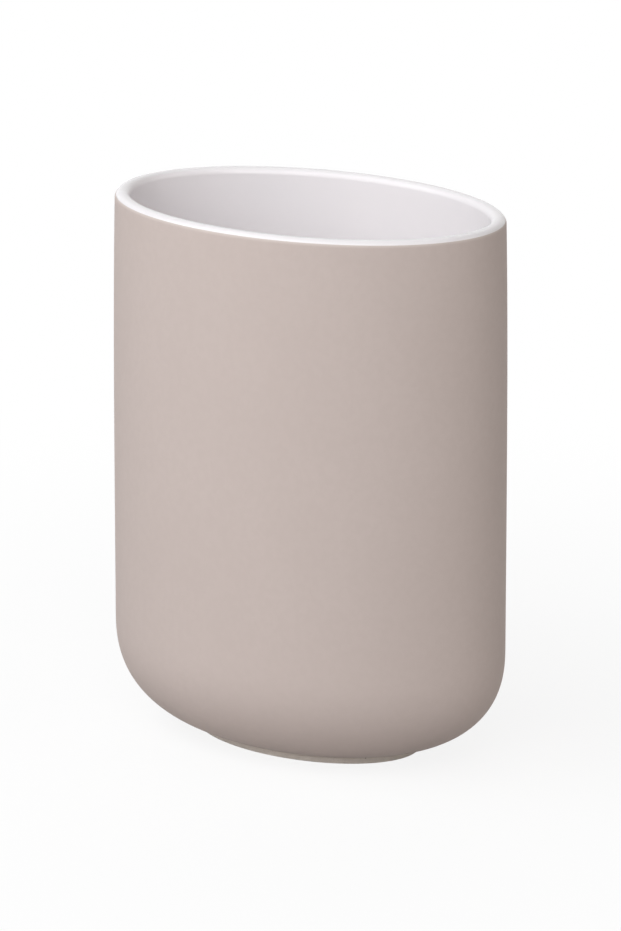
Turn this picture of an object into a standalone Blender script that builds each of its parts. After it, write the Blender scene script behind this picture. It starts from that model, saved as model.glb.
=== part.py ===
"""Oval stoneware toothbrush tumbler: a clay body under a white glaze and a matte coating.

Metres, +Z up, +X along the oval's long way. The origin is at the middle of the ground face.
"""

import math

import bmesh
import bpy

# Overall size, over the finished surfaces
LENGTH = 0.0898
DEPTH = 0.0628
HEIGHT = 0.110

# Layers of the wall, from the outside in, and the clearance kept between them
COATING_THICKNESS = 0.00035
CLAY_THICKNESS = 0.0019
GLAZE_THICKNESS = 0.00035
LAYER_GAP = 0.00025
# How far each side leans in between the lower corner and the rim, and how late: 1 is a
# straight side, more keeps the lean nearer the rim
WALL_LEAN = 0.00055
LEAN_POWER = 4

# Rim: its two roundings, and how far the white glaze comes down outside
RIM_OUTER_ROUND = 0.0015
RIM_INNER_ROUND = 0.0014
GLAZE_LIP = 0.0008

# Lower corner: where the wall starts to turn in, and the level that its curve tends to
CORNER_TOP = 0.0220
CORNER_BOTTOM = 0.0005
# Exponent of its curve: 2 is a true ellipse, more is squarer
CORNER_FULLNESS = 2.45
# Share of the curve's reach that is left where the foot ring cuts it
CORNER_CUT_SHARE = 0.40

# Foot ring, bare clay, and the glazed recess inside it
FOOT_LENGTH = 0.0526
FOOT_DEPTH = 0.0350
FOOT_RING_WIDTH = 0.0028
FOOT_EDGE_ROUND = 0.0004
RECESS_HEIGHT = 0.0020
RECESS_FILLET = 0.0006
RECESS_GLAZE_EDGE = 0.0007

# Clay floor over the recess, and the flat of the inside on it
FLOOR_THICKNESS = 0.0032
FLAT_FLOOR_LENGTH = 0.040
FLAT_FLOOR_DEPTH = 0.024

# Mesh resolution
SEGMENTS = 64
WALL_STEPS = 2
CORNER_STEPS = 8
RIM_STEPS = 4
FILLET_STEPS = 2
SHARP_ANGLE = math.radians(35)

# Depths of each layer's faces under the finished outside
SKIN_DEPTH = max(COATING_THICKNESS, GLAZE_THICKNESS)
CLAY_OUTSIDE = SKIN_DEPTH + LAYER_GAP
CLAY_INSIDE = CLAY_OUTSIDE + CLAY_THICKNESS
GLAZE_INSIDE = CLAY_INSIDE + LAYER_GAP + GLAZE_THICKNESS

# The roundings of the rim can't be larger than half its wall
OUTER_ROUND = min(RIM_OUTER_ROUND, GLAZE_INSIDE / 2)
INNER_ROUND = min(RIM_INNER_ROUND, GLAZE_INSIDE / 2)

# Reach of the lower corner's outer curve, lengthwise
CORNER_REACH = (LENGTH - FOOT_LENGTH) / 2 / (1 - CORNER_CUT_SHARE)

# Levels of the clay floor and of the glaze on it
CLAY_FLOOR = RECESS_HEIGHT + FLOOR_THICKNESS
GLAZE_FLOOR = CLAY_FLOOR + LAYER_GAP + GLAZE_THICKNESS

# Colour, roughness
STONEWARE_FINISH = ((0.61, 0.57, 0.51), 0.85)
GLAZE_FINISH = ((0.91, 0.90, 0.87), 0.12)
COATING_FINISH = ((0.55, 0.47, 0.42), 0.70)


def clear_scene():
    """Remove whatever the open scene holds."""
    for item in list(bpy.data.objects):
        bpy.data.objects.remove(item, do_unlink=True)


def make_collection(name):
    """Make a collection for the object's parts and link it to the scene."""
    collection = bpy.data.collections.new(name)
    bpy.context.scene.collection.children.link(collection)
    return collection


def make_material(name, finish):
    """Make a Principled material from a colour and a roughness."""
    colour, roughness = finish
    material = bpy.data.materials.new(name)
    material.use_nodes = True
    shader = material.node_tree.nodes["Principled BSDF"]
    shader.inputs["Base Color"].default_value = (*colour, 1.0)
    shader.inputs["Roughness"].default_value = roughness
    shader.inputs["Metallic"].default_value = 0.0
    material.diffuse_color = (*colour, 1.0)
    return material


def oval(section):
    """Points of one level ellipse, counter-clockwise from above."""
    half_length, half_depth, height = section
    points = []
    for step in range(SEGMENTS):
        angle = 2 * math.pi * step / SEGMENTS
        points.append((half_length * math.cos(angle), half_depth * math.sin(angle), height))
    return points


def wall_section(inset, height):
    """Section of the wall, inset from the finished outside."""
    share = max(height - CORNER_TOP, 0) / (HEIGHT - CORNER_TOP)
    lean = WALL_LEAN * share**LEAN_POWER
    return (LENGTH / 2 - inset - lean, DEPTH / 2 - inset - lean, height)


def wall_run(inset, top):
    """Sections up the wall from the corner, closer together towards the top."""
    sections = []
    for step in range(WALL_STEPS):
        share = math.sqrt(step / WALL_STEPS)
        sections.append(wall_section(inset, CORNER_TOP + (top - CORNER_TOP) * share))
    return sections


def squared(value):
    """A sine or cosine, pushed outwards to make the corner's curve fuller than an ellipse."""
    return value ** (2 / CORNER_FULLNESS)


def corner_sections(inset, end_half_length, end_half_depth, end_share, bottom):
    """Sections down the lower corner, from the wall's oval to a smaller end oval.

    The curve is a quarter of a superellipse. It stops where end_share of its reach is left.
    """
    start_half_length, start_half_depth, top = wall_section(inset, CORNER_TOP)
    end_angle = math.acos(end_share ** (CORNER_FULLNESS / 2))
    sections = []
    for step in range(CORNER_STEPS + 1):
        angle = end_angle * step / CORNER_STEPS
        share = squared(max(math.cos(angle), 0))
        drop = squared(math.sin(angle))
        blend = (1 - share) / (1 - end_share)
        half_length = start_half_length + (end_half_length - start_half_length) * blend
        half_depth = start_half_depth + (end_half_depth - start_half_depth) * blend
        sections.append((half_length, half_depth, top - (top - bottom) * drop))
    return sections


def outer_corner_sections(depth_in, clearance):
    """Sections down an outer face of the corner, to a clearance outside the foot ring."""
    centre = LENGTH / 2 - CORNER_REACH
    end_half_length = FOOT_LENGTH / 2 + clearance
    end_half_depth = FOOT_DEPTH / 2 + clearance
    end_share = (end_half_length - centre) / (CORNER_REACH - depth_in)
    bottom = CORNER_BOTTOM + depth_in
    return corner_sections(depth_in, end_half_length, end_half_depth, end_share, bottom)


def inside_sections(depth_in, floor):
    """Sections down an inner face, from under the rim to the edge of the flat floor."""
    wall = list(reversed(wall_run(depth_in, HEIGHT - INNER_ROUND)))
    return wall + corner_sections(
        depth_in, FLAT_FLOOR_LENGTH / 2, FLAT_FLOOR_DEPTH / 2, 0, floor
    )


def rim_outside(depth_in, start, end):
    """Sections round the outside of the rim, between two heights on its face."""
    radius = OUTER_ROUND - depth_in
    centre = HEIGHT - OUTER_ROUND
    sections = []
    start_angle = math.asin(min(max((start - centre) / radius, 0), 1))
    end_angle = math.asin(min(max((end - centre) / radius, 0), 1))
    for step in range(RIM_STEPS + 1):
        angle = start_angle + (end_angle - start_angle) * step / RIM_STEPS
        inset = OUTER_ROUND - radius * math.cos(angle)
        sections.append(wall_section(inset, centre + radius * math.sin(angle)))
    return sections


def rim_inside(depth_from_glaze):
    """Sections over the rim's inner rounding, from its crest to the inner wall."""
    radius = INNER_ROUND - depth_from_glaze
    centre = HEIGHT - INNER_ROUND
    sections = []
    for step in range(RIM_STEPS + 1):
        angle = math.pi / 2 * (1 - step / RIM_STEPS)
        inset = GLAZE_INSIDE - INNER_ROUND + radius * math.cos(angle)
        sections.append(wall_section(inset, centre + radius * math.sin(angle)))
    return sections


def edge_round(centre_inset, centre_height, radius, start_angle, end_angle):
    """Sections round a small edge of the foot, placed by insets from the foot's outside."""
    sections = []
    for step in range(FILLET_STEPS + 1):
        angle = start_angle + (end_angle - start_angle) * step / FILLET_STEPS
        inset = centre_inset - radius * math.cos(angle)
        height = centre_height + radius * math.sin(angle)
        sections.append((FOOT_LENGTH / 2 - inset, FOOT_DEPTH / 2 - inset, height))
    return sections


def drop_repeats(sections):
    """Leave out a section that lies on the one before it."""
    kept = [sections[0]]
    for section in sections[1:]:
        if math.dist(section, kept[-1]) > LAYER_GAP / 10:
            kept.append(section)
    return kept


def loft(name, sections, start_cap, end_cap):
    """Skin the sections in order, with a flat cap over the first or last one if asked."""
    shape = bmesh.new()
    rings = []
    for section in drop_repeats(sections):
        rings.append([shape.verts.new(point) for point in oval(section)])
    for lower, upper in zip(rings, rings[1:]):
        for step in range(SEGMENTS):
            shape.faces.new((lower[step - 1], lower[step], upper[step], upper[step - 1]))
    if start_cap:
        shape.faces.new(list(reversed(rings[0])))
    if end_cap:
        shape.faces.new(rings[-1])
    mesh = bpy.data.meshes.new(name)
    shape.to_mesh(mesh)
    shape.free()
    mesh.shade_smooth()
    mesh.set_sharp_from_angle(angle=SHARP_ANGLE)
    return bpy.data.objects.new(name, mesh)


def thicken(item, thickness):
    """Give a drawn face its thickness, into the wall behind it."""
    shell = item.modifiers.new("Thickness", "SOLIDIFY")
    shell.thickness = thickness
    shell.offset = -1
    shell.use_even_offset = True
    shell.use_rim = True


def make_stoneware_body():
    """The clay pot: recess, foot ring, corner, wall, rim, and down the inside to its floor."""
    corner = outer_corner_sections(CLAY_OUTSIDE, 0)
    recess_fillet_inset = FOOT_RING_WIDTH + RECESS_FILLET
    ring_inner_edge_inset = FOOT_RING_WIDTH - FOOT_EDGE_ROUND
    sections = edge_round(
        recess_fillet_inset, RECESS_HEIGHT - RECESS_FILLET, RECESS_FILLET, math.pi / 2, 0
    )
    sections += edge_round(
        ring_inner_edge_inset, FOOT_EDGE_ROUND, FOOT_EDGE_ROUND, -math.pi, -math.pi / 2
    )
    sections += edge_round(FOOT_EDGE_ROUND, FOOT_EDGE_ROUND, FOOT_EDGE_ROUND, -math.pi / 2, 0)
    sections += reversed(corner)
    sections += wall_run(CLAY_OUTSIDE, HEIGHT - OUTER_ROUND)
    sections += rim_outside(CLAY_OUTSIDE, CORNER_TOP, HEIGHT)
    sections += rim_inside(GLAZE_INSIDE - CLAY_INSIDE)
    sections += inside_sections(CLAY_INSIDE, CLAY_FLOOR)
    return loft("stoneware_body", sections, start_cap=True, end_cap=True)


def make_inner_glaze():
    """The white glaze: from its line outside, over the rim and down to the floor."""
    sections = rim_outside(0, HEIGHT - GLAZE_LIP, HEIGHT)
    sections += rim_inside(0)
    sections += inside_sections(GLAZE_INSIDE, GLAZE_FLOOR)
    glaze = loft("inner_glaze", sections, start_cap=False, end_cap=True)
    thicken(glaze, GLAZE_THICKNESS)
    return glaze


def make_outer_coating():
    """The matte coat: from beside the foot ring up to the glaze's line under the rim."""
    coat_top = HEIGHT - GLAZE_LIP - LAYER_GAP
    sections = list(reversed(outer_corner_sections(0, LAYER_GAP)))
    sections += wall_run(0, HEIGHT - OUTER_ROUND)
    sections += rim_outside(0, CORNER_TOP, coat_top)
    coat = loft("outer_coating", sections, start_cap=False, end_cap=False)
    thicken(coat, COATING_THICKNESS)
    return coat


def make_base_glaze():
    """The white glaze on the recess's ceiling and part of the way down its side."""
    depth = LAYER_GAP + GLAZE_THICKNESS
    radius = max(RECESS_FILLET - depth, 0)
    centre_inset = FOOT_RING_WIDTH + max(RECESS_FILLET, depth)
    centre_height = RECESS_HEIGHT - max(RECESS_FILLET, depth)
    sections = edge_round(centre_inset, centre_height, radius, math.pi / 2, 0)
    edge_inset = centre_inset - radius
    sections.append((FOOT_LENGTH / 2 - edge_inset, FOOT_DEPTH / 2 - edge_inset, RECESS_GLAZE_EDGE))
    glaze = loft("base_glaze", sections, start_cap=True, end_cap=False)
    thicken(glaze, GLAZE_THICKNESS)
    return glaze


def main():
    """Build the tumbler."""
    clear_scene()
    collection = make_collection("toothbrush_holder")
    stand = bpy.data.objects.new("tumbler_origin", None)
    collection.objects.link(stand)
    white_glaze = make_material("white_gloss_glaze", GLAZE_FINISH)
    parts = (
        (make_stoneware_body(), make_material("bare_stoneware", STONEWARE_FINISH)),
        (make_inner_glaze(), white_glaze),
        (make_outer_coating(), make_material("matte_beige_coating", COATING_FINISH)),
        (make_base_glaze(), white_glaze),
    )
    for part, material in parts:
        part.data.materials.append(material)
        part.parent = stand
        collection.objects.link(part)


main()
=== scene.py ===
"""Dresses the oval stoneware toothbrush tumbler: fine surfaces, glazes and a small studio.

Metres, +Z up, +X along the oval's long way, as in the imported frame. A section is one level
oval of the tumbler: its half length, its half depth and its height. A piece is a skin over
sections in order, down one face of it and up the other.
"""

import math
from typing import NamedTuple

import bmesh
import bpy
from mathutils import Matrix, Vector


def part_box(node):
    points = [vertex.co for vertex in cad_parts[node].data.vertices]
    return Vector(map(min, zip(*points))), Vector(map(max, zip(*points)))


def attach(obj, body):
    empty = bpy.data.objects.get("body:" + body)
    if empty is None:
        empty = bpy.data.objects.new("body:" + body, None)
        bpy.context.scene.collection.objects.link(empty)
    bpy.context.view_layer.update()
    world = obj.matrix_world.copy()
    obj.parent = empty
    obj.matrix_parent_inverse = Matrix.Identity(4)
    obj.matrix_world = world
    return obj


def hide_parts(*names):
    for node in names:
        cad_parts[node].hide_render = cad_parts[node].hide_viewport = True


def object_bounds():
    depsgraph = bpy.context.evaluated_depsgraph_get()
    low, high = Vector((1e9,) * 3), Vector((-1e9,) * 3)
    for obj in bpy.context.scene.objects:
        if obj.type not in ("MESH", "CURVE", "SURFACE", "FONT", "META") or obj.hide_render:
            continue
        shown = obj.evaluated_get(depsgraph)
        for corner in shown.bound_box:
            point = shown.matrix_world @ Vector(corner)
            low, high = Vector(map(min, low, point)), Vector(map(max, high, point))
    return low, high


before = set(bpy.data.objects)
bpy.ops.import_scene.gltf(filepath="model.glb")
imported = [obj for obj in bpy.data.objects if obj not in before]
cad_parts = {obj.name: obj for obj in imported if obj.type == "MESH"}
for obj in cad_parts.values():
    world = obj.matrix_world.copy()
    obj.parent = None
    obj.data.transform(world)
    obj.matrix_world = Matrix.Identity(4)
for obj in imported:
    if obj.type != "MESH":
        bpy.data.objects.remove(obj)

bl_info = {
    "name": "Stoneware toothbrush tumbler",
    "version": (1, 0, 0),
    "blender": (4, 5, 0),
    "location": "3D View > Sidebar > Tumbler",
    "description": "Builds the fine surfaces, glazes and studio of an oval stoneware tumbler",
    "category": "Add Mesh",
}

CAD_LOW, CAD_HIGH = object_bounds()
COAT_LOW, COAT_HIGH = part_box("outer_coating")
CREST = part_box("inner_glaze")[1].z

# The photograph's frame, and where it shows the point that the camera is aimed at
PHOTO_WIDTH = 621
PHOTO_HEIGHT = 931
AIM_PIXEL = (308.49, 470.24)

# How fine the surfaces are, and from which angle an edge is shaded sharp
AROUND = 256
WALL_RINGS = 24
CORNER_RINGS = 40
ROUND_RINGS = 10
CAP_SHARES = (0.8, 0.6, 0.4, 0.2)
SHARP_ANGLE = math.radians(50)

# Clearance between neighbouring skins, how near two sections may lie before they count as one,
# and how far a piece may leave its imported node's box
SKIN_CLEARANCE = 0.00002
REPEAT_DISTANCE = SKIN_CLEARANCE / 10
BOX_TOLERANCE = 0.0003

# Detail of each noise, and the part of its range that a drift and a roughness follow
DRIFT_DETAIL = 3
GRAIN_DETAIL = 3
RIPPLE_DETAIL = 1
DRIFT_RANGE = (0.35, 0.65)
ROUGHNESS_RANGE = (0.3, 0.7)

# The coat's mottle, its paler edge band (partly thinning coat, partly a painted highlight), and the
# part of its grain that shows as flecks
MOTTLE_SIZE = 0.0016
MOTTLE_AMOUNT = 0.4
COAT_THINNING_AND_HIGHLIGHT_WIDTH = 0.0005
FLECK_RANGE = (0.6, 0.75)
FLECK_AMOUNT = 0.5

# How far from the inside's floor, and from the recess glaze's edge, the glaze looks thicker
FLOOR_POOL_WIDTH = 0.006
RECESS_POOL_WIDTH = 0.0004

# The part of the clay's grain that shows as darker grains, and its iron specks. They have one
# place for each spacing, a share of the places stays empty, and a speck fades out between two
# shares of the spacing from its middle
DARK_GRAIN_RANGE = (0.5, 0.7)
DARK_GRAIN_AMOUNT = 0.8
SPECK_SPACING = 0.0011
EMPTY_SPECK_SHARE = 0.7
SPECK_FADE_SHARES = (0.06, 0.17)
SPECK_AMOUNT = 0.8

WHITE = (1, 1, 1)

# Azimuth from the camera's and elevation in degrees, distance and side in metres, of each lamp
LAMP_PLACES = {
    "left": (-85, 40, 0.8, 0.75),
    "key": (-15, 40, 1.3, 1.2),
    "front": (-15, 10, 1.3, 1.2),
    "right": (85, 12, 1.3, 1.2),
    "back": (180, 50, 1.3, 1.2),
    "rear": (180, 8, 1.3, 1.0),
}

# Colours of the lamps that aren't plain white
LAMP_TINTS = {"left": (0.95, 0.98, 1.0), "right": (1.0, 0.96, 0.915)}

# The lamps that gloss doesn't show, because the back rim would lose its edge in them
UNSEEN_IN_GLOSS = ("rear",)

# Elevations of an outward normal
OUTWARD = 0
UPWARD = math.pi / 2
INWARD = math.pi
DOWNWARD = -math.pi / 2
DOWNWARD_FROM_INWARD = 3 * math.pi / 2


class Surface(NamedTuple):
    """What shows on a finish: sizes and a depth in metres, and numbers from 0 to 1."""

    drift_size: float
    drift_amount: float
    grain_size: float
    ripple_size: float
    ripple_share: float
    roughness_swing: float
    specular_level: float
    bump_depth: float


COAT_SURFACE = Surface(
    drift_size=0.022,
    drift_amount=0.3,
    grain_size=0.00035,
    ripple_size=0.009,
    ripple_share=0.45,
    roughness_swing=0.05,
    specular_level=0.2,
    bump_depth=0.00003,
)
GLAZE_SURFACE = Surface(
    drift_size=0.018,
    drift_amount=0.5,
    grain_size=0.0011,
    ripple_size=0.007,
    ripple_share=0.7,
    roughness_swing=0.03,
    specular_level=0.3,
    bump_depth=0.00003,
)
CLAY_SURFACE = Surface(
    drift_size=0.004,
    drift_amount=0.4,
    grain_size=0.00025,
    ripple_size=0.0015,
    ripple_share=0.3,
    roughness_swing=0.06,
    specular_level=0.25,
    bump_depth=0.00006,
)


def length_property(name, default, description):
    """A length that a user can change."""
    return bpy.props.FloatProperty(
        name=name, description=description, default=default, min=0, unit="LENGTH", precision=5
    )


def share_property(name, default, description):
    """A number from 0 to 1 that a user can change."""
    return bpy.props.FloatProperty(
        name=name, description=description, default=default, min=0, max=1, subtype="FACTOR"
    )


def angle_property(name, degrees, description):
    """An angle that a user can change."""
    return bpy.props.FloatProperty(
        name=name, description=description, default=math.radians(degrees), subtype="ANGLE"
    )


def power_property(name, default, description):
    """A lamp's power that a user can change."""
    return bpy.props.FloatProperty(
        name=name, description=description, default=default, min=0, unit="POWER"
    )


def colour_property(name, default, description):
    """A linear colour that a user can change."""
    return bpy.props.FloatVectorProperty(
        name=name, description=description, default=default, size=3, min=0, max=1, subtype="COLOR"
    )


class TumblerSizes(bpy.types.PropertyGroup):
    """Real sizes of the tumbler and of its skins."""

    length: length_property("Length", COAT_HIGH.x - COAT_LOW.x, "Over the coat, the long way")
    depth: length_property("Depth", COAT_HIGH.y - COAT_LOW.y, "Over the coat, the short way")
    height: length_property("Height", CREST, "From the ground to the crest of the rim")
    wall: length_property("Wall", 0.0031, "From the coat to the inner glaze")
    skin: length_property("Skin", 0.0006, "From a finished face to the clay under it")
    wall_lean: length_property("Wall lean", 0.00055, "How far a side leans in up to the rim")
    lean_power: bpy.props.FloatProperty(
        name="Lean power",
        description="1 is straight, more keeps it nearer the rim",
        default=4,
        min=1,
    )
    rim_outer_round: length_property("Outer rim rounding", 0.0015, "Radius outside the crest")
    rim_inner_round: length_property("Inner rim rounding", 0.0014, "Radius inside the crest")
    coat_line: length_property("Coat line", 0.0008, "From the crest down to the coat's edge")
    coat_lip: length_property("Coat lip", 0.00008, "Step from the coat down to the glaze")
    glaze_skirt: length_property("Glaze skirt", 0.0008, "How far the glaze runs on under the coat")
    corner_top: length_property("Corner top", 0.0220, "Where the wall starts to turn in")
    corner_bottom: length_property("Corner bottom", 0.0005, "Level that the corner tends to")
    corner_fullness: bpy.props.FloatProperty(
        name="Corner fullness",
        description="Exponent of the corner's curve: 2 is a true ellipse, more is squarer",
        default=2.45,
        min=1,
        max=4,
    )
    corner_cut: share_property("Corner cut", 0.40, "Share of the curve's reach left at the foot")
    foot_length: length_property("Foot length", 0.0526, "Over the foot ring, the long way")
    foot_depth: length_property("Foot depth", 0.0350, "Over the foot ring, the short way")
    ring_width: length_property("Ring width", 0.0028, "Foot ring, from outside to inside")
    foot_round: length_property("Foot rounding", 0.0004, "Radius of the foot ring's edges")
    bare_margin: length_property("Bare margin", 0.0012, "From the foot ring out to the coat's edge")
    bare_drop: length_property("Bare drop", 0.0003, "Of the fillet down the foot ring's side")
    coat_foot_round: length_property("Coat foot rounding", 0.0002, "Radius of its lower edge")
    recess: length_property("Recess", 0.0020, "From the ground to the clay in the recess")
    recess_fillet: length_property("Recess fillet", 0.0006, "Fillet round the clay recess")
    recess_glaze_fillet: length_property("Glazed fillet", 0.0005, "Fillet of the glaze in it")
    recess_glaze_edge: length_property("Glaze edge", 0.0007, "Lower edge of the recess glaze")
    glaze_bead: length_property("Glaze bead", 0.0003, "Radius of the recess glaze's edge")
    clay_floor: length_property("Clay floor", 0.0052, "From the ground to the clay floor")
    flat_floor_length: length_property("Flat floor length", 0.040, "Of the inside, the long way")
    flat_floor_depth: length_property("Flat floor depth", 0.024, "Of the inside, the short way")


class TumblerFinish(bpy.types.PropertyGroup):
    """Colours and surface values of the clay, the glaze and the coat."""

    coat: colour_property("Coat", (0.606, 0.516, 0.482), "Matte beige coat")
    coat_shade: colour_property("Coat shade", (0.578, 0.490, 0.456), "Its darker drift")
    # Paler band at the coat line: partly the coat thinning out, partly a painted highlight
    coat_thinning_and_highlight: colour_property("Coat edge", (0.640, 0.558, 0.524), "Where it thins out")
    coat_roughness: share_property("Coat roughness", 0.72, "Middle value")
    glaze: colour_property("Glaze", (0.922, 0.885, 0.897), "White gloss glaze")
    glaze_pool: colour_property("Glaze pool", (0.902, 0.871, 0.885), "Where it lies thicker")
    glaze_roughness: share_property("Glaze roughness", 0.22, "Middle value")
    stoneware: colour_property("Stoneware", (0.900, 0.820, 0.748), "Bare fired clay")
    stoneware_shade: colour_property("Stoneware shade", (0.790, 0.706, 0.638), "Darker grains")
    iron_speck: colour_property("Iron speck", (0.160, 0.115, 0.085), "Specks in the clay")
    stoneware_roughness: share_property("Stoneware roughness", 0.86, "Middle value")


class StudioSettings(bpy.types.PropertyGroup):
    """Camera, lamps, floor and surround."""

    azimuth: angle_property("Camera azimuth", 42, "Round from the tumbler's front")
    elevation: angle_property("Camera elevation", 14.49, "Above the horizon")
    distance: length_property("Camera distance", 1.1525, "From the point it is aimed at")
    aim_height: length_property("Aim height", 0.055, "Of the point it is aimed at")
    lens: bpy.props.FloatProperty(
        name="Lens", description="Focal length in millimetres", default=221.69, min=10
    )
    left_power: power_property("Left lamp", 3.85, "Power of the near, high lamp on the left")
    key_power: power_property("Key lamp", 9.0, "Power of the high lamp at the front")
    front_power: power_property("Front lamp", 5.9, "Power of the low lamp by the camera")
    right_power: power_property("Right lamp", 5.9, "Power of the low lamp on the right")
    back_power: power_property("Back lamp", 0.8, "Power of the high lamp behind the tumbler")
    rear_power: power_property("Rear lamp", 9.0, "Power of the low lamp behind the tumbler")
    ambient: share_property("Ambient", 0.0, "Light from all round, as a share of white")
    floor_size: length_property("Floor size", 3, "Side of the square floor")
    floor: colour_property("Floor", (1.0, 1.0, 1.0), "Pale floor, as it is seen")
    floor_bounce: colour_property("Floor bounce", (0.52, 0.507, 0.495), "What it throws back")
    floor_glow: share_property("Floor glow", 0.86, "Share of plain white in it by the tumbler")
    shadow_reach: length_property("Shadow reach", 0.28, "Where the floor seen is all plain white")


def oval_ring(section):
    """Points of one section, counter-clockwise from above."""
    half_length, half_depth, height = section
    points = []
    for step in range(AROUND):
        angle = 2 * math.pi * step / AROUND
        points.append((half_length * math.cos(angle), half_depth * math.sin(angle), height))
    return points


def wall_section(sizes, inset, height):
    """Section of the wall, inset from the coat's face."""
    share = max(height - sizes.corner_top, 0) / (sizes.height - sizes.corner_top)
    lean = sizes.wall_lean * share**sizes.lean_power
    return (sizes.length / 2 - inset - lean, sizes.depth / 2 - inset - lean, height)


def foot_section(sizes, inset, height):
    """Section of the foot ring, inset from its outside."""
    return (sizes.foot_length / 2 - inset, sizes.foot_depth / 2 - inset, height)


def wall_run(sizes, inset, start, end):
    """Sections along the wall between two heights, both left out."""
    steps = range(1, WALL_RINGS)
    return [wall_section(sizes, inset, start + (end - start) * step / WALL_RINGS) for step in steps]


def round_run(section, radius, start_angle, end_angle):
    """Sections round an edge, from one whose normal stands at the start angle."""
    half_length, half_depth, height = section
    sections = []
    for step in range(ROUND_RINGS + 1):
        angle = start_angle + (end_angle - start_angle) * step / ROUND_RINGS
        outward = radius * (math.cos(angle) - math.cos(start_angle))
        upward = radius * (math.sin(angle) - math.sin(start_angle))
        sections.append((half_length + outward, half_depth + outward, height + upward))
    return sections


def rim_run(sizes, outer_inset, inner_inset, crest):
    """Sections over the rim, from its outer wall to its inner wall."""
    outer_radius = sizes.rim_outer_round - outer_inset
    inner_radius = sizes.rim_inner_round - (sizes.wall - inner_inset)
    outside = wall_section(sizes, outer_inset, crest - outer_radius)
    inside = wall_section(sizes, inner_inset - inner_radius, crest)
    return round_run(outside, outer_radius, OUTWARD, UPWARD) + round_run(
        inside, inner_radius, UPWARD, INWARD
    )


def corner_run(sizes, inset, end, end_share, bottom):
    """Sections down the lower corner, from the wall's oval to a smaller end oval."""
    start_half_length, start_half_depth, top = wall_section(sizes, inset, sizes.corner_top)
    end_half_length, end_half_depth = end
    exponent = 2 / sizes.corner_fullness
    end_angle = math.acos(end_share ** (1 / exponent))
    sections = []
    for step in range(CORNER_RINGS + 1):
        angle = end_angle * step / CORNER_RINGS
        share = max(math.cos(angle), 0) ** exponent
        drop = math.sin(angle) ** exponent
        blend = (1 - share) / (1 - end_share)
        half_length = start_half_length + (end_half_length - start_half_length) * blend
        half_depth = start_half_depth + (end_half_depth - start_half_depth) * blend
        sections.append((half_length, half_depth, top - (top - bottom) * drop))
    return sections


def outer_corner_run(sizes, inset, clearance):
    """Sections down an outer face of the corner, to a clearance outside the foot ring."""
    reach = (sizes.length - sizes.foot_length) / 2 / (1 - sizes.corner_cut)
    centre = sizes.length / 2 - reach
    end = (sizes.foot_length / 2 + clearance, sizes.foot_depth / 2 + clearance)
    end_share = (end[0] - centre) / (reach - inset)
    return corner_run(sizes, inset, end, end_share, sizes.corner_bottom + inset)


def inner_corner_run(sizes, inset, floor):
    """Sections down an inner face of the corner, out to the flat floor."""
    end = (sizes.flat_floor_length / 2, sizes.flat_floor_depth / 2)
    return corner_run(sizes, inset, end, 0, floor)


def cap_run(section):
    """Sections that close a flat face towards its middle, and the middle itself."""
    half_length, half_depth, height = section
    sections = [(half_length * share, half_depth * share, height) for share in CAP_SHARES]
    return sections + [(0, 0, height)]


def inner_face_run(sizes, inset, floor, top):
    """Sections down an inner face, from a height on its wall to the middle of its floor."""
    corner = inner_corner_run(sizes, inset, floor)
    return wall_run(sizes, inset, top, sizes.corner_top) + corner + cap_run(corner[-1])


def recess_run(sizes, inset, ceiling, fillet):
    """Sections from the middle of the recess's ceiling, round its fillet to its side."""
    edge = foot_section(sizes, inset + fillet, ceiling)
    return list(reversed(cap_run(edge))) + round_run(edge, fillet, UPWARD, OUTWARD)


def drop_repeats(sections):
    """Leave out a section that lies on the one before it."""
    kept = [sections[0]]
    for section in sections[1:]:
        if math.dist(section, kept[-1]) > REPEAT_DISTANCE:
            kept.append(section)
    return kept


def add_ring(shape, section):
    """Vertices of one section, or the one vertex of a section without width."""
    if section[0] <= 0:
        return [shape.verts.new((0, 0, section[2]))]
    return [shape.verts.new(point) for point in oval_ring(section)]


def bridge(shape, lower, upper):
    """Faces between two rings, either of which may be a single vertex."""
    for step in range(AROUND):
        corners = [lower[0]] if len(lower) == 1 else [lower[step - 1], lower[step]]
        corners += [upper[0]] if len(upper) == 1 else [upper[step], upper[step - 1]]
        shape.faces.new(corners)


def skin_over(name, sections, closed=False):
    """Skin the sections in order, and join the last to the first where the skin is a loop."""
    shape = bmesh.new()
    rings = [add_ring(shape, section) for section in drop_repeats(sections)]
    for lower, upper in zip(rings, rings[1:]):
        bridge(shape, lower, upper)
    if closed:
        bridge(shape, rings[-1], rings[0])
    bmesh.ops.recalc_face_normals(shape, faces=shape.faces)
    mesh = bpy.data.meshes.new(name)
    shape.to_mesh(mesh)
    shape.free()
    mesh.shade_smooth()
    mesh.set_sharp_from_angle(angle=SHARP_ANGLE)
    piece = bpy.data.objects.new(name, mesh)
    bpy.context.scene.collection.objects.link(piece)
    return piece


def seat(piece, node, material):
    """Finish a piece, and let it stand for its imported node, in whose box it has to lie."""
    low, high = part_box(node)
    for corner in piece.bound_box:
        for axis in range(3):
            outside = max(low[axis] - corner[axis], corner[axis] - high[axis])
            if outside > BOX_TOLERANCE:
                raise RuntimeError(f"{piece.name} leaves the box of {node}")
    piece.data.materials.append(material)
    even_shading = piece.modifiers.new("Even shading", "WEIGHTED_NORMAL")
    even_shading.keep_sharp = True
    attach(piece, "root")
    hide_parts(node)


def bare_fillet_run(sizes):
    """Sections up the fillet between the foot ring's side and the coat's edge, flush with it."""
    margin = sizes.bare_margin
    edge, above = list(reversed(outer_corner_run(sizes, 0, margin)))[:2]
    rise = (above[2] - edge[2]) / (above[0] - edge[0]) * margin
    meeting = edge[2] - rise
    start = meeting - sizes.bare_drop
    sections = []
    for step in range(1, ROUND_RINGS + 1):
        share = step / ROUND_RINGS
        height = (1 - share) ** 2 * start + 2 * share * (1 - share) * meeting + share**2 * edge[2]
        sections.append(foot_section(sizes, -margin * share**2, height))
    return [foot_section(sizes, 0, start)] + sections


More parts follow.
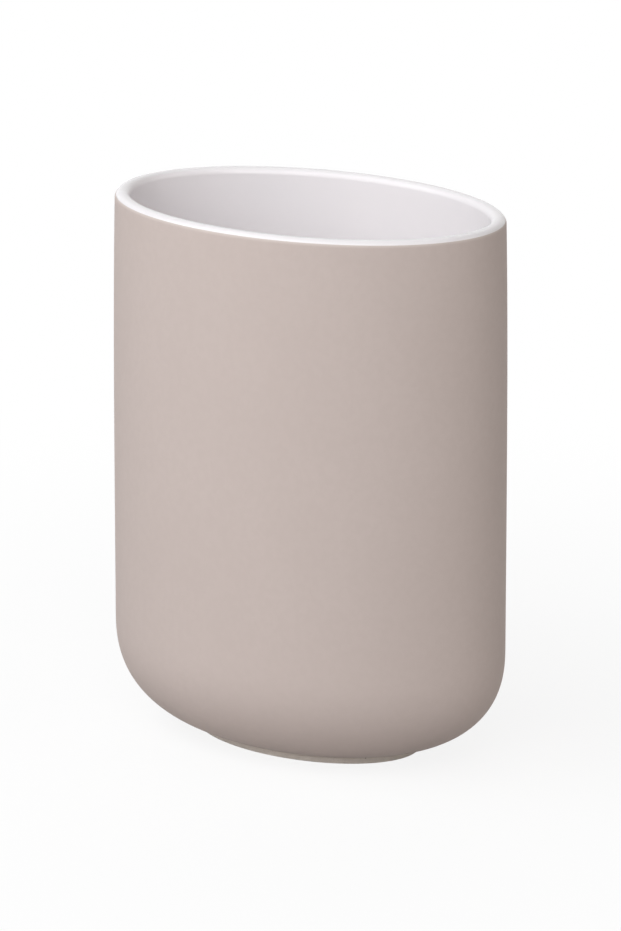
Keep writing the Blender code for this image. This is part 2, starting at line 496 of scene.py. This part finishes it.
def stoneware_sections(sizes):
    """From the recess's middle, over the foot ring, up, over the rim and down to the floor."""
    foot = sizes.foot_round
    clay_inside = sizes.wall - sizes.skin
    ring_inside = foot_section(sizes, sizes.ring_width, foot)
    ring_outside = foot_section(sizes, foot, 0)
    corner = list(reversed(outer_corner_run(sizes, sizes.skin, sizes.bare_margin)))
    rim = rim_run(sizes, sizes.skin, clay_inside, sizes.height - sizes.skin)
    return (
        recess_run(sizes, sizes.ring_width, sizes.recess, sizes.recess_fillet)
        + round_run(ring_inside, foot, INWARD, DOWNWARD_FROM_INWARD)
        + round_run(ring_outside, foot, DOWNWARD, OUTWARD)
        + bare_fillet_run(sizes)
        + corner
        + wall_run(sizes, sizes.skin, sizes.corner_top, rim[0][2])
        + rim
        + inner_face_run(sizes, clay_inside, sizes.clay_floor, rim[-1][2])
    )


def lining_sections(sizes):
    """From the middle of the glazed floor, up, over the rim, down the skirt and back inside."""
    glaze_floor = sizes.clay_floor + sizes.skin
    back = sizes.skin - SKIN_CLEARANCE
    skirt_end = sizes.height - sizes.coat_line - sizes.glaze_skirt
    rim_face = rim_run(sizes, sizes.coat_lip, sizes.wall, sizes.height)
    rim_back = rim_run(sizes, back, sizes.wall - back, sizes.height - back)
    face = inner_face_run(sizes, sizes.wall, glaze_floor, rim_face[-1][2])
    face_up = list(reversed(rim_face + face))
    skirt = [wall_section(sizes, sizes.coat_lip, skirt_end), wall_section(sizes, back, skirt_end)]
    back_floor = sizes.clay_floor + SKIN_CLEARANCE
    behind = inner_face_run(sizes, sizes.wall - back, back_floor, rim_back[-1][2])
    return face_up + skirt + rim_back + behind


def rising_normal(lower, upper):
    """Elevation of the outward normal of the face that rises from one section to the next."""
    return -math.atan2(upper[0] - lower[0], upper[2] - lower[2])


def coat_sections(sizes):
    """From the coat's lower edge up its face, over its lip and down its back, as a loop."""
    radius = sizes.rim_outer_round
    back = sizes.skin - SKIN_CLEARANCE
    skirt_end = sizes.height - sizes.coat_line - sizes.glaze_skirt - SKIN_CLEARANCE
    gap = sizes.bare_margin + SKIN_CLEARANCE
    corner = list(reversed(outer_corner_run(sizes, 0, gap + sizes.coat_foot_round)))
    lowest_normal = rising_normal(corner[0], corner[1])
    foot_edge = list(reversed(round_run(corner[0], sizes.coat_foot_round, lowest_normal, -INWARD)))
    rim_start = wall_section(sizes, 0, sizes.height - radius)
    line_angle = math.asin((radius - sizes.coat_line) / radius)
    rounding = round_run(rim_start, radius, OUTWARD, line_angle)
    lip = round_run(rounding[-1], sizes.coat_lip, line_angle, line_angle + UPWARD)
    lip_back = sizes.coat_lip - SKIN_CLEARANCE
    behind_start = wall_section(sizes, lip_back, sizes.height - radius)
    behind_lip = list(reversed(round_run(behind_start, radius - lip_back, OUTWARD, line_angle)))
    skirt = [wall_section(sizes, lip_back, skirt_end), wall_section(sizes, back, skirt_end)]
    behind = outer_corner_run(sizes, back, gap)
    return (
        foot_edge
        + corner
        + wall_run(sizes, 0, sizes.corner_top, rim_start[2])
        + rounding
        + lip
        + behind_lip
        + skirt
        + behind
    )


def recess_glaze_sections(sizes):
    """From the middle of the glazed ceiling, down its side, round its bead and back behind."""
    face_inset = sizes.ring_width + sizes.skin
    fillet = sizes.recess_glaze_fillet
    face = recess_run(sizes, face_inset, sizes.recess - sizes.skin, fillet)
    bead_start = foot_section(sizes, face_inset, sizes.recess_glaze_edge + sizes.glaze_bead)
    bead = round_run(bead_start, sizes.glaze_bead, INWARD, DOWNWARD_FROM_INWARD)
    back_inset = sizes.ring_width + SKIN_CLEARANCE
    back_edge = foot_section(sizes, back_inset, sizes.recess_glaze_edge)
    behind = recess_run(sizes, back_inset, sizes.recess - SKIN_CLEARANCE, sizes.recess_fillet)
    return face + bead + [back_edge] + list(reversed(behind))


def socket_of(sockets, identifier):
    """The socket of a Mix node for one kind of value."""
    return next(socket for socket in sockets if socket.identifier == identifier)


def feed(tree, source, socket):
    """Feed a socket from another one, or give it a value or a colour."""
    if isinstance(source, bpy.types.NodeSocket):
        tree.links.new(source, socket)
    elif isinstance(source, (int, float)):
        socket.default_value = source
    else:
        socket.default_value = (*source, 1)


def calculate(tree, operation, first, second):
    """The result of a Math node."""
    node = tree.nodes.new("ShaderNodeMath")
    node.operation = operation
    feed(tree, first, node.inputs[0])
    feed(tree, second, node.inputs[1])
    return node.outputs[0]


def blend_colours(tree, share, first, second):
    """A mix of two colours, each a colour or a socket."""
    mix = tree.nodes.new("ShaderNodeMix")
    mix.data_type = "RGBA"
    feed(tree, share, socket_of(mix.inputs, "Factor_Float"))
    feed(tree, first, socket_of(mix.inputs, "A_Color"))
    feed(tree, second, socket_of(mix.inputs, "B_Color"))
    return socket_of(mix.outputs, "Result_Color")


def blend_values(tree, share, first, second):
    """A mix of two values."""
    mix = tree.nodes.new("ShaderNodeMix")
    feed(tree, share, socket_of(mix.inputs, "Factor_Float"))
    feed(tree, first, socket_of(mix.inputs, "A_Float"))
    feed(tree, second, socket_of(mix.inputs, "B_Float"))
    return socket_of(mix.outputs, "Result_Float")


def remap(tree, source, start, end, low, high):
    """A value moved smoothly from one range to another, and held at its ends."""
    node = tree.nodes.new("ShaderNodeMapRange")
    node.interpolation_type = "SMOOTHSTEP"
    feed(tree, source, node.inputs["Value"])
    feed(tree, start, node.inputs["From Min"])
    feed(tree, end, node.inputs["From Max"])
    feed(tree, low, node.inputs["To Min"])
    feed(tree, high, node.inputs["To Max"])
    return node.outputs["Result"]


def noise_of(tree, feature_size, detail):
    """Noise over the piece's own coordinates, with features of a size in metres."""
    place = tree.nodes.new("ShaderNodeTexCoord")
    noise = tree.nodes.new("ShaderNodeTexNoise")
    noise.inputs["Detail"].default_value = detail
    tree.links.new(place.outputs["Object"], noise.inputs["Vector"])
    feed(tree, calculate(tree, "DIVIDE", 1, feature_size), noise.inputs["Scale"])
    return noise.outputs["Fac"]


def new_group(name, inputs, outputs):
    """Make a shader node group with named sockets, and give its tree, its input and its output."""
    tree = bpy.data.node_groups.new(name, "ShaderNodeTree")
    for label, default in inputs.items():
        kind = "NodeSocketFloat" if isinstance(default, (int, float)) else "NodeSocketColor"
        socket = tree.interface.new_socket(label, in_out="INPUT", socket_type=kind)
        feed(tree, default, socket)
    for label, kind in outputs.items():
        tree.interface.new_socket(label, in_out="OUTPUT", socket_type=kind)
    return tree, tree.nodes.new("NodeGroupInput").outputs, tree.nodes.new("NodeGroupOutput").inputs


def firing_drift_group():
    """A slow drift between two colours, as firing leaves it."""
    tree, given, result = new_group(
        "Firing drift",
        {"Colour": WHITE, "Drifted Colour": WHITE, "Patch Size": 0.02, "Amount": 1.0},
        {"Colour": "NodeSocketColor"},
    )
    noise = noise_of(tree, given["Patch Size"], DRIFT_DETAIL)
    share = remap(tree, noise, *DRIFT_RANGE, 0, given["Amount"])
    drifted = blend_colours(tree, share, given["Colour"], given["Drifted Colour"])
    feed(tree, drifted, result["Colour"])
    return tree


def fine_grain_group():
    """The height of a fine grain over a longer ripple, and the grain alone as a mask."""
    tree, given, result = new_group(
        "Fine grain",
        {"Grain Size": 0.0003, "Ripple Size": 0.006, "Ripple Share": 0.5},
        {"Height": "NodeSocketFloat", "Grain": "NodeSocketFloat"},
    )
    grain = noise_of(tree, given["Grain Size"], GRAIN_DETAIL)
    ripple = noise_of(tree, given["Ripple Size"], RIPPLE_DETAIL)
    feed(tree, blend_values(tree, given["Ripple Share"], grain, ripple), result["Height"])
    feed(tree, grain, result["Grain"])
    return tree


def level_band_group():
    """A mask that is 1 at one level of the tumbler, and fades out above and below it."""
    tree, given, result = new_group(
        "Level band", {"Level": 0.0, "Width": 0.002}, {"Mask": "NodeSocketFloat"}
    )
    place = tree.nodes.new("ShaderNodeTexCoord")
    split = tree.nodes.new("ShaderNodeSeparateXYZ")
    tree.links.new(place.outputs["Object"], split.inputs[0])
    away = calculate(tree, "SUBTRACT", split.outputs["Z"], given["Level"])
    distance = calculate(tree, "ABSOLUTE", away, 0)
    feed(tree, remap(tree, distance, 0, given["Width"], 1, 0), result["Mask"])
    return tree


GROUP_BUILDERS = {
    "Firing drift": firing_drift_group,
    "Fine grain": fine_grain_group,
    "Level band": level_band_group,
}


def place_group(tree, name, **values):
    """Place a shared group, built the first time, in a material with the material's own values."""
    node = tree.nodes.new("ShaderNodeGroup")
    node.node_tree = bpy.data.node_groups.get(name) or GROUP_BUILDERS[name]()
    for label, value in values.items():
        feed(tree, value, node.inputs[label.replace("_", " ")])
    return node.outputs


def new_material(name):
    """A material, with its tree and its Principled shader."""
    material = bpy.data.materials.new(name)
    material.use_nodes = True
    return material, material.node_tree, material.node_tree.nodes["Principled BSDF"]


def add_drift(tree, colour, drifted_colour, patch_size, amount):
    """A colour that drifts slowly to another one."""
    drift = place_group(
        tree,
        "Firing drift",
        Colour=colour,
        Drifted_Colour=drifted_colour,
        Patch_Size=patch_size,
        Amount=amount,
    )
    return drift["Colour"]


def add_bump(tree, shader, height, depth):
    """Give the shader a bump whose full height is a depth in metres."""
    bump = tree.nodes.new("ShaderNodeBump")
    bump.inputs["Distance"].default_value = depth
    tree.links.new(height, bump.inputs["Height"])
    tree.links.new(bump.outputs["Normal"], shader.inputs["Normal"])


def vary_roughness(tree, shader, mask, middle, swing):
    """Let the roughness swing about its middle value with a mask."""
    roughness = remap(tree, mask, *ROUGHNESS_RANGE, middle - swing, middle + swing)
    feed(tree, roughness, shader.inputs["Roughness"])


def give_surface(tree, shader, surface, roughness):
    """Give the shader a surface's grain, ripples, roughness and gloss, and return the grain."""
    grain = place_group(
        tree,
        "Fine grain",
        Grain_Size=surface.grain_size,
        Ripple_Size=surface.ripple_size,
        Ripple_Share=surface.ripple_share,
    )
    vary_roughness(tree, shader, grain["Grain"], roughness, surface.roughness_swing)
    shader.inputs["Specular IOR Level"].default_value = surface.specular_level
    add_bump(tree, shader, grain["Height"], surface.bump_depth)
    return grain["Grain"]


def coat_material(sizes, finish):
    """Matte beige coat: an eggshell grain, a slow drift of colour, and a paler band at its line,
    partly where it thins out and partly a painted highlight.
    """
    material, tree, shader = new_material("matte_beige_coat")
    surface = COAT_SURFACE
    drift = add_drift(
        tree, finish.coat, finish.coat_shade, surface.drift_size, surface.drift_amount
    )
    mottle = add_drift(tree, drift, finish.coat_shade, MOTTLE_SIZE, MOTTLE_AMOUNT)
    line = sizes.height - sizes.coat_line
    # Paler band along the coat line: partly thinning coat, partly a painted highlight
    edge = place_group(tree, "Level band", Level=line, Width=COAT_THINNING_AND_HIGHLIGHT_WIDTH)
    coat = blend_colours(tree, edge["Mask"], mottle, finish.coat_thinning_and_highlight)
    grain = give_surface(tree, shader, surface, finish.coat_roughness)
    flecks = remap(tree, grain, *FLECK_RANGE, 0, FLECK_AMOUNT)
    feed(tree, blend_colours(tree, flecks, coat, finish.coat_shade), shader.inputs["Base Color"])
    return material


def glaze_material(name, finish, pool_level, pool_width):
    """White gloss glaze: long soft ripples, and a cooler tone where it lies thicker."""
    material, tree, shader = new_material(name)
    surface = GLAZE_SURFACE
    drift = add_drift(
        tree, finish.glaze, finish.glaze_pool, surface.drift_size, surface.drift_amount
    )
    pool = place_group(tree, "Level band", Level=pool_level, Width=pool_width)
    glaze = blend_colours(tree, pool["Mask"], drift, finish.glaze_pool)
    feed(tree, glaze, shader.inputs["Base Color"])
    give_surface(tree, shader, surface, finish.glaze_roughness)
    return material


def speck_mask(tree):
    """A mask of small round specks, one in some of the cells that fill the piece."""
    place = tree.nodes.new("ShaderNodeTexCoord")
    cells = tree.nodes.new("ShaderNodeTexVoronoi")
    cells.inputs["Scale"].default_value = 1 / SPECK_SPACING
    tree.links.new(place.outputs["Object"], cells.inputs["Vector"])
    cell_colour = tree.nodes.new("ShaderNodeSeparateColor")
    tree.links.new(cells.outputs["Color"], cell_colour.inputs["Color"])
    chosen = calculate(tree, "GREATER_THAN", cell_colour.outputs["Red"], EMPTY_SPECK_SHARE)
    spot = remap(tree, cells.outputs["Distance"], *SPECK_FADE_SHARES, SPECK_AMOUNT, 0)
    return calculate(tree, "MULTIPLY", chosen, spot)


def stoneware_material(finish):
    """Bare fired clay: a sandy grain, darker grains and a few iron specks."""
    material, tree, shader = new_material("bare_stoneware")
    surface = CLAY_SURFACE
    drift = add_drift(
        tree,
        finish.stoneware,
        finish.stoneware_shade,
        surface.drift_size,
        surface.drift_amount,
    )
    grain = give_surface(tree, shader, surface, finish.stoneware_roughness)
    dark_grains = remap(tree, grain, *DARK_GRAIN_RANGE, 0, DARK_GRAIN_AMOUNT)
    clay = blend_colours(tree, dark_grains, drift, finish.stoneware_shade)
    specked = blend_colours(tree, speck_mask(tree), clay, finish.iron_speck)
    feed(tree, specked, shader.inputs["Base Color"])
    return material


def seen_rays(tree):
    """1 for what the camera sees, straight or in a gloss or a glass, and 0 for other light."""
    path = tree.nodes.new("ShaderNodeLightPath")
    glossy = calculate(
        tree, "MAXIMUM", path.outputs["Is Camera Ray"], path.outputs["Is Glossy Ray"]
    )
    return calculate(tree, "MAXIMUM", glossy, path.outputs["Is Transmission Ray"])


def floor_material(studio):
    """Pale floor: seen as nearly plain white that keeps the tumbler's shadow."""
    material = bpy.data.materials.new("studio_floor")
    material.use_nodes = True
    tree = material.node_tree
    tree.nodes.clear()
    seen = seen_rays(tree)
    paint = tree.nodes.new("ShaderNodeBsdfDiffuse")
    feed(tree, blend_colours(tree, seen, studio.floor_bounce, studio.floor), paint.inputs["Color"])
    glow = tree.nodes.new("ShaderNodeEmission")
    mix = tree.nodes.new("ShaderNodeMixShader")
    place = tree.nodes.new("ShaderNodeTexCoord")
    away = tree.nodes.new("ShaderNodeVectorMath")
    away.operation = "LENGTH"
    tree.links.new(place.outputs["Object"], away.inputs[0])
    reach = (CAD_HIGH.x, studio.shadow_reach)
    share = remap(tree, away.outputs["Value"], *reach, studio.floor_glow, 1)
    feed(tree, calculate(tree, "MULTIPLY", seen, share), mix.inputs[0])
    tree.links.new(paint.outputs[0], mix.inputs[1])
    tree.links.new(glow.outputs[0], mix.inputs[2])
    output = tree.nodes.new("ShaderNodeOutputMaterial")
    tree.links.new(mix.outputs[0], output.inputs["Surface"])
    return material


def make_floor(studio):
    """A square floor under the tumbler."""
    shape = bmesh.new()
    bmesh.ops.create_grid(shape, x_segments=1, y_segments=1, size=studio.floor_size / 2)
    mesh = bpy.data.meshes.new("floor")
    shape.to_mesh(mesh)
    shape.free()
    mesh.materials.append(floor_material(studio))
    floor = bpy.data.objects.new("floor", mesh)
    floor.location.z = -SKIN_CLEARANCE
    bpy.context.scene.collection.objects.link(floor)


def make_surround(studio):
    """White where it is seen, and only a share of white as light from all round."""
    world = bpy.data.worlds.new("white_surround")
    world.use_nodes = True
    tree = world.node_tree
    background = tree.nodes["Background"]
    feed(tree, WHITE, background.inputs["Color"])
    strength = blend_values(tree, seen_rays(tree), studio.ambient, 1)
    feed(tree, strength, background.inputs["Strength"])
    bpy.context.scene.world = world


def aim(item, target):
    """Turn a camera or a lamp towards a point."""
    item.rotation_mode = "QUATERNION"
    item.rotation_quaternion = (target - item.location).to_track_quat("-Z", "Y")


def place_round(item, target, azimuth, elevation, distance):
    """Put a camera or a lamp round the tumbler and turn it to a point on its axis."""
    level = distance * math.cos(elevation)
    offset = (level * math.sin(azimuth), -level * math.cos(azimuth), distance * math.sin(elevation))
    item.location = target + Vector(offset)
    aim(item, target)
    bpy.context.scene.collection.objects.link(item)


def make_camera(studio):
    """The camera, at the photograph's viewing angle and framing."""
    data = bpy.data.cameras.new("photo_camera")
    data.lens = studio.lens
    data.shift_x = (PHOTO_WIDTH / 2 - AIM_PIXEL[0]) / PHOTO_HEIGHT
    data.shift_y = (AIM_PIXEL[1] - PHOTO_HEIGHT / 2) / PHOTO_HEIGHT
    camera = bpy.data.objects.new("photo_camera", data)
    target = Vector((0, 0, studio.aim_height))
    place_round(camera, target, studio.azimuth, studio.elevation, studio.distance)
    bpy.context.scene.camera = camera


def make_lamp(name, studio):
    """A square area lamp, in the place that its name stands for."""
    azimuth, elevation, distance, side = LAMP_PLACES[name]
    data = bpy.data.lights.new(f"{name}_lamp", "AREA")
    data.energy = getattr(studio, f"{name}_power")
    data.size = side
    data.color = LAMP_TINTS.get(name, WHITE)
    lamp = bpy.data.objects.new(f"{name}_lamp", data)
    lamp.visible_glossy = name not in UNSEEN_IN_GLOSS
    target = Vector((0, 0, studio.aim_height))
    turned = studio.azimuth + math.radians(azimuth)
    place_round(lamp, target, turned, math.radians(elevation), distance)


class TUMBLER_OT_stoneware_body(bpy.types.Operator):
    """Build the fired clay body, with the bare foot ring that it stands on"""

    bl_idname = "tumbler.stoneware_body"
    bl_label = "Stoneware body"

    def execute(self, context):
        sizes = context.scene.tumbler_sizes
        body = skin_over("fired_clay_body", stoneware_sections(sizes))
        material = stoneware_material(context.scene.tumbler_finish)
        seat(body, "stoneware_body", material)
        return {"FINISHED"}


class TUMBLER_OT_glaze_lining(bpy.types.Operator):
    """Build the white gloss glaze of the inside, over the rim to its line under the coat"""

    bl_idname = "tumbler.glaze_lining"
    bl_label = "Glaze lining"

    def execute(self, context):
        sizes = context.scene.tumbler_sizes
        finish = context.scene.tumbler_finish
        lining = skin_over("gloss_glaze_lining", lining_sections(sizes))
        floor = sizes.clay_floor + sizes.skin
        material = glaze_material("white_gloss_glaze", finish, floor, FLOOR_POOL_WIDTH)
        seat(lining, "inner_glaze", material)
        return {"FINISHED"}


class TUMBLER_OT_matte_coat(bpy.types.Operator):
    """Build the matte beige coat, from the foot ring up to its line under the rim"""

    bl_idname = "tumbler.matte_coat"
    bl_label = "Matte coat"

    def execute(self, context):
        sizes = context.scene.tumbler_sizes
        coat = skin_over("matte_beige_coat", coat_sections(sizes), closed=True)
        material = coat_material(sizes, context.scene.tumbler_finish)
        seat(coat, "outer_coating", material)
        return {"FINISHED"}


class TUMBLER_OT_recess_glaze(bpy.types.Operator):
    """Build the white glaze of the recess inside the foot ring"""

    bl_idname = "tumbler.recess_glaze"
    bl_label = "Recess glaze"

    def execute(self, context):
        sizes = context.scene.tumbler_sizes
        finish = context.scene.tumbler_finish
        glaze = skin_over("recess_glaze", recess_glaze_sections(sizes))
        edge = sizes.recess_glaze_edge
        material = glaze_material("recess_gloss_glaze", finish, edge, RECESS_POOL_WIDTH)
        seat(glaze, "base_glaze", material)
        return {"FINISHED"}


class TUMBLER_OT_studio(bpy.types.Operator):
    """Set up the camera, the soft lamps, the pale floor and the white surround"""

    bl_idname = "tumbler.studio"
    bl_label = "Studio"

    def execute(self, context):
        studio = context.scene.tumbler_studio
        context.scene.view_settings.view_transform = "Standard"
        make_camera(studio)
        for name in LAMP_PLACES:
            make_lamp(name, studio)
        make_floor(studio)
        make_surround(studio)
        return {"FINISHED"}


class TUMBLER_PT_sidebar(bpy.types.Panel):
    """Sizes, finishes and builders of the tumbler"""

    bl_label = "Tumbler"
    bl_idname = "TUMBLER_PT_sidebar"
    bl_space_type = "VIEW_3D"
    bl_region_type = "UI"
    bl_category = "Tumbler"

    def draw(self, context):
        for operator in BUILDERS:
            self.layout.operator(operator.bl_idname)
        for group in GROUPS:
            box = self.layout.box()
            settings = getattr(context.scene, group)
            for name in settings.bl_rna.properties.keys():
                if name not in ("rna_type", "name"):
                    box.prop(settings, name)


GROUPS = {
    "tumbler_sizes": TumblerSizes,
    "tumbler_finish": TumblerFinish,
    "tumbler_studio": StudioSettings,
}
BUILDERS = (
    TUMBLER_OT_stoneware_body,
    TUMBLER_OT_glaze_lining,
    TUMBLER_OT_matte_coat,
    TUMBLER_OT_recess_glaze,
    TUMBLER_OT_studio,
)


def register():
    """Register the settings, the builders and the panel."""
    for name, group in GROUPS.items():
        bpy.utils.register_class(group)
        setattr(bpy.types.Scene, name, bpy.props.PointerProperty(type=group))
    for operator in BUILDERS:
        bpy.utils.register_class(operator)
    bpy.utils.register_class(TUMBLER_PT_sidebar)


def unregister():
    """Take back what register added."""
    bpy.utils.unregister_class(TUMBLER_PT_sidebar)
    for operator in reversed(BUILDERS):
        bpy.utils.unregister_class(operator)
    for name, group in reversed(GROUPS.items()):
        delattr(bpy.types.Scene, name)
        bpy.utils.unregister_class(group)


def main():
    """Build the tumbler and its studio."""
    register()
    bpy.ops.tumbler.stoneware_body()
    bpy.ops.tumbler.glaze_lining()
    bpy.ops.tumbler.matte_coat()
    bpy.ops.tumbler.recess_glaze()
    bpy.ops.tumbler.studio()


if __name__ == "__main__":
    main()
